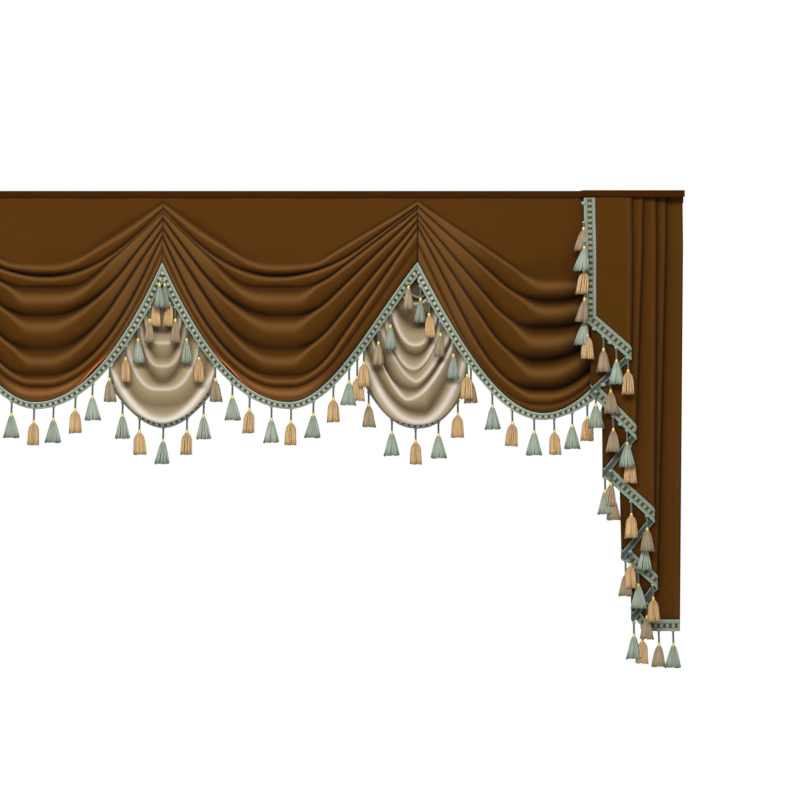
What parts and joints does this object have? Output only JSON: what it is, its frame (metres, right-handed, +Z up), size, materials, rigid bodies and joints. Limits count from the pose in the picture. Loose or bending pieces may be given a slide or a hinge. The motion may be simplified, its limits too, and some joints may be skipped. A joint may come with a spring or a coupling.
{
  "type": "swag valance with tail",
  "caption": "Swag valance in brown velvet: draped swags over pale under-swags, a stepped folded tail at one end, and tasselled braid on every hem.",
  "frame": {"origin": "on the top back edge of the heading, above the middle of the middle swag", "axes": "+X along the top edge to the viewer's right, towards the tail; +Y back, towards the wall; +Z up"},
  "size_m": [1.635, 0.0895, 1.001],
  "materials": {
    "velvet": "dark brown cotton velvet with a short pile, matt, lighter where the pile is seen at a slant",
    "satin": "pale beige velvet or satin with a soft sheen",
    "trim": "woven braid in grey-green and pale aqua with teal, gold and taupe cut tassels"
  },
  "bodies": {
    "root": {"heading": "velvet", "swag_left": "velvet", "swag_left_fringe": "trim", "swag_middle": "velvet", "swag_middle_fringe": "trim", "swag_right": "velvet", "swag_right_fringe": "trim", "under_swag_left": "satin", "under_swag_left_fringe": "trim", "under_swag_right": "satin", "under_swag_right_fringe": "trim", "tail": "velvet", "tail_fringe": "trim"}
  },
  "joints": []
}
